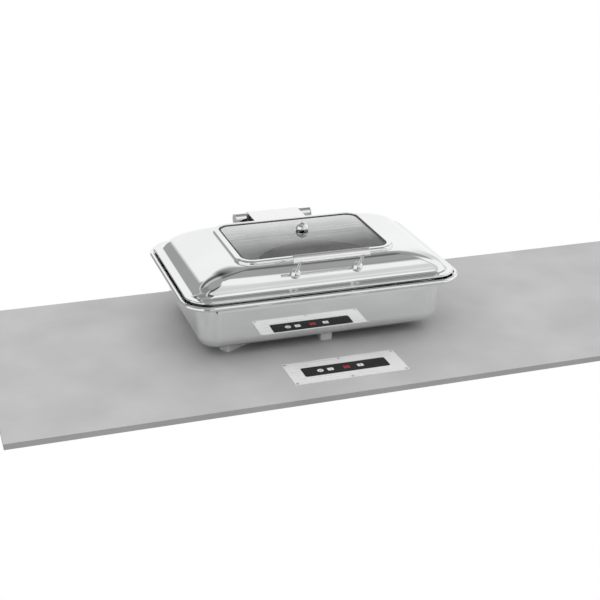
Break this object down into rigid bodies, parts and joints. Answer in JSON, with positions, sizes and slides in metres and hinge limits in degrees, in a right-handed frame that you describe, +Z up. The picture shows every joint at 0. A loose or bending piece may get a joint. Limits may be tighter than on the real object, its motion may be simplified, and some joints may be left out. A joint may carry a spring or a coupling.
{
  "type": "induction food warmer",
  "caption": "Countertop chafing dish with a hinged glass-window lid, white trivet, flush touch panel and under-counter induction unit.",
  "frame": {"origin": "on the worktop surface, at the middle of the dish, where the trivet's hub rests", "axes": "+Z up, front with the grip and the touch panel towards -Y, +X to the right seen from the front"},
  "size_m": [0.585, 0.5203, 0.2944],
  "materials": {
    "polished_steel": "mirror polished stainless steel",
    "base_steel": "ground magnetic stainless steel",
    "satin_steel": "satin stainless steel",
    "black_enamel": "black enamelled coating",
    "brushed_steel": "brushed stainless steel",
    "cap_plastic": "light grey moulded plastic",
    "clear_rubber": "clear silicone",
    "window_glass": "clear tempered glass",
    "black_rubber": "black silicone",
    "grip_steel": "fine satin stainless steel",
    "white_plastic": "white heat-proof moulding",
    "panel_steel": "fine brushed stainless steel",
    "panel_glass": "black printed glass",
    "black_plastic": "black moulded plastic",
    "circuit_board": "green solder mask",
    "display": "dark red display block",
    "spring_steel": "plated spring steel",
    "galvanised": "galvanised sheet steel",
    "insulation": "pale mica insulation board",
    "carrier_plastic": "dark glass-filled plastic",
    "copper": "enamelled copper litz wire",
    "ferrite": "sintered ferrite",
    "sensor_silicone": "white silicone",
    "sink_aluminium": "extruded aluminium",
    "capacitor_sleeve": "dark sleeve"
  },
  "bodies": {
    "built_in_unit": {"pan_spacer": "white_plastic", "panel_plate": "panel_steel", "panel_glass": "panel_glass", "panel_screws": "brushed_steel", "panel_box": "black_plastic", "panel_board": "circuit_board", "panel_board_posts": "black_plastic", "panel_display": "display", "touch_springs": "spring_steel", "panel_socket": "black_plastic", "unit_tray": "galvanised", "unit_cover": "insulation", "unit_hangers": "galvanised", "hanger_screws": "brushed_steel", "coil_carrier": "carrier_plastic", "coils": "copper", "ferrites": "ferrite", "pan_sensors": "sensor_silicone", "carrier_posts": "carrier_plastic", "power_board": "circuit_board", "board_posts": "black_plastic", "heat_sink": "sink_aluminium", "board_capacitors": "capacitor_sleeve", "fan_frame": "black_plastic", "fan_screws": "brushed_steel", "mains_gland": "black_plastic", "lead_socket": "black_plastic"},
    "dish": {"water_pan": "polished_steel", "induction_base": "base_steel", "food_pan": "satin_steel", "serving_pan": "black_enamel", "hinge_bracket": "brushed_steel", "hinge_barrels": "polished_steel", "hinge_end_caps": "cap_plastic", "hinge_pin": "brushed_steel"},
    "lid": {"lid_shell": "polished_steel", "lid_bumpers": "clear_rubber", "window_frame": "polished_steel", "window_glass": "window_glass", "window_gasket": "black_rubber", "frame_studs": "brushed_steel", "frame_nuts": "brushed_steel", "vent_cap": "polished_steel", "vent_nut": "brushed_steel", "lid_grip": "grip_steel", "grip_posts": "polished_steel", "grip_bosses": "polished_steel", "post_nuts": "brushed_steel", "hinge_leaf": "grip_steel", "hinge_knuckle": "polished_steel", "hinge_foot": "brushed_steel", "foot_screws": "brushed_steel", "hinge_damper": "cap_plastic"},
    "fan": {"fan_rotor": "black_plastic"}
  },
  "joints": [
    {"name": "dish_lift", "type": "slide", "parent": "built_in_unit", "child": "dish", "axis": [0, 0, 1], "range_m": [0, 0.25]},
    {"name": "lid_hinge", "type": "hinge", "parent": "dish", "child": "lid", "pos_m": [0, 0.202, 0.157], "axis": [-1, 0, 0], "range_deg": [0, 90]},
    {"name": "fan_spin", "type": "hinge", "parent": "built_in_unit", "child": "fan", "pos_m": [-0.118, 0, -0.07], "axis": [0, 0, 1], "continuous": true}
  ]
}
